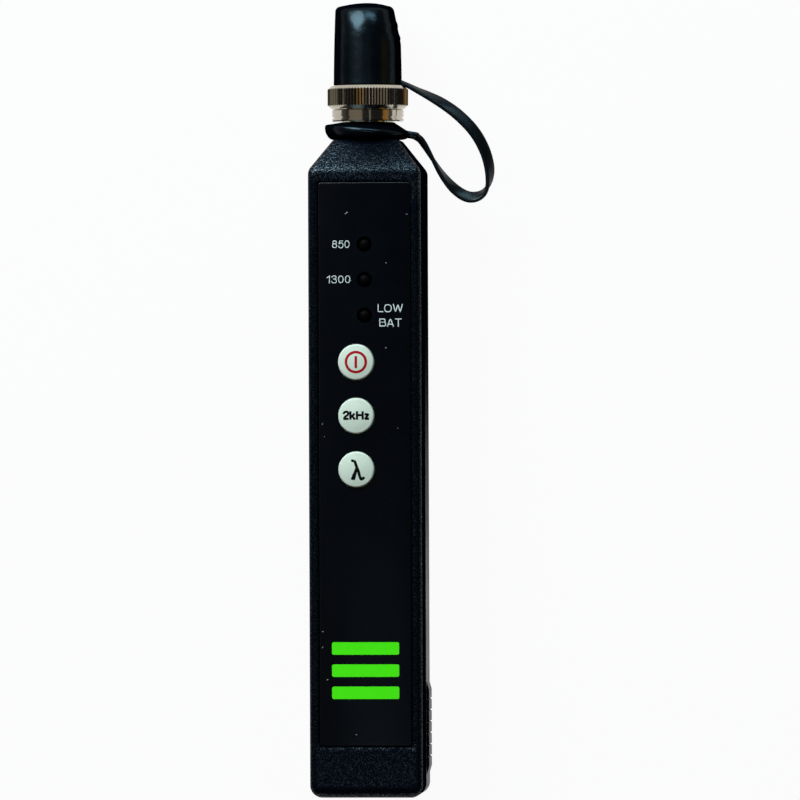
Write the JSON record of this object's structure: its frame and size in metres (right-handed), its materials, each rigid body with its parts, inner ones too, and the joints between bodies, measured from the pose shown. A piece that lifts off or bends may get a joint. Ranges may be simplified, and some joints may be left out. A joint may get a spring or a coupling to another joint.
{
  "type": "optical light source",
  "caption": "Slim pocket fibre light source: dark two-part case, printed panel with lamps and round keys, metal optical port with knurled ring under a tethered rubber cap.",
  "frame": {"origin": "middle of the flat back of the case, which it lies on", "axes": "+Z out of the front panel, +Y along the case towards the optical port, +X to a reader's right"},
  "size_m": [0.0383, 0.1656, 0.0231],
  "materials": {
    "case_plastic": "moulded black-navy ABS with a fine even grain",
    "panel_film": "smooth printed film, near black",
    "key_plastic": "pale grey moulded keys with printed signs",
    "lamp_resin": "dark tinted clear resin",
    "switch_plastic": "black glass-filled nylon",
    "board_laminate": "green solder mask on glass laminate",
    "plated_brass": "turned brass with bright nickel plating",
    "bright_steel": "bright plated steel",
    "sleeve_ceramic": "white zirconia",
    "cell_jacket": "printed steel jacket, plain",
    "wire_jacket": "black insulated hook-up wire",
    "cap_rubber": "satin black moulded rubber"
  },
  "bodies": {
    "case": {"front_shell": "case_plastic", "rear_shell": "case_plastic", "overlay_panel": "panel_film", "case_screws": "bright_steel", "switch_power": "switch_plastic", "switch_tone": "switch_plastic", "switch_wavelength": "switch_plastic", "lamp_850": "lamp_resin", "lamp_1300": "lamp_resin", "lamp_low_battery": "lamp_resin", "lamp_leads": "bright_steel", "main_board": "board_laminate", "board_screws": "bright_steel", "driver_chip": "switch_plastic", "boost_coil": "switch_plastic", "filter_capacitor": "bright_steel", "battery_cell": "cell_jacket", "contact_spring": "bright_steel", "contact_plate": "bright_steel", "battery_lead": "wire_jacket", "port_body": "plated_brass", "port_washer": "plated_brass", "port_nut": "plated_brass", "port_adapter": "plated_brass", "alignment_sleeve": "sleeve_ceramic", "emitter_can": "bright_steel", "emitter_leads": "bright_steel", "cap_tether": "cap_rubber"},
    "power_key": {"key_power": "key_plastic", "plunger_power": "switch_plastic"},
    "tone_key": {"key_tone": "key_plastic", "plunger_tone": "switch_plastic"},
    "wavelength_key": {"key_wavelength": "key_plastic", "plunger_wavelength": "switch_plastic"},
    "coupling": {"coupling_ring": "plated_brass"},
    "cap": {"dust_cap": "cap_rubber"},
    "door": {"battery_door": "case_plastic"}
  },
  "joints": [
    {"name": "power_key_press", "type": "slide", "parent": "case", "child": "power_key", "axis": [0, 0, -1], "range_m": [0, 0.0005], "stiffness_N_per_m": 400},
    {"name": "tone_key_press", "type": "slide", "parent": "case", "child": "tone_key", "axis": [0, 0, -1], "range_m": [0, 0.0005], "stiffness_N_per_m": 400},
    {"name": "wavelength_key_press", "type": "slide", "parent": "case", "child": "wavelength_key", "axis": [0, 0, -1], "range_m": [0, 0.0005], "stiffness_N_per_m": 400},
    {"name": "coupling_turn", "type": "hinge", "parent": "case", "child": "coupling", "pos_m": [0, 0.0774, 0.011], "axis": [0, 1, 0], "continuous": true},
    {"name": "cap_pull", "type": "slide", "parent": "case", "child": "cap", "axis": [0, 1, 0], "range_m": [0, 0.038], "deforming": ["cap_tether"]},
    {"name": "door_slide", "type": "slide", "parent": "case", "child": "door", "axis": [0, -1, 0], "range_m": [0, 0.062]}
  ]
}
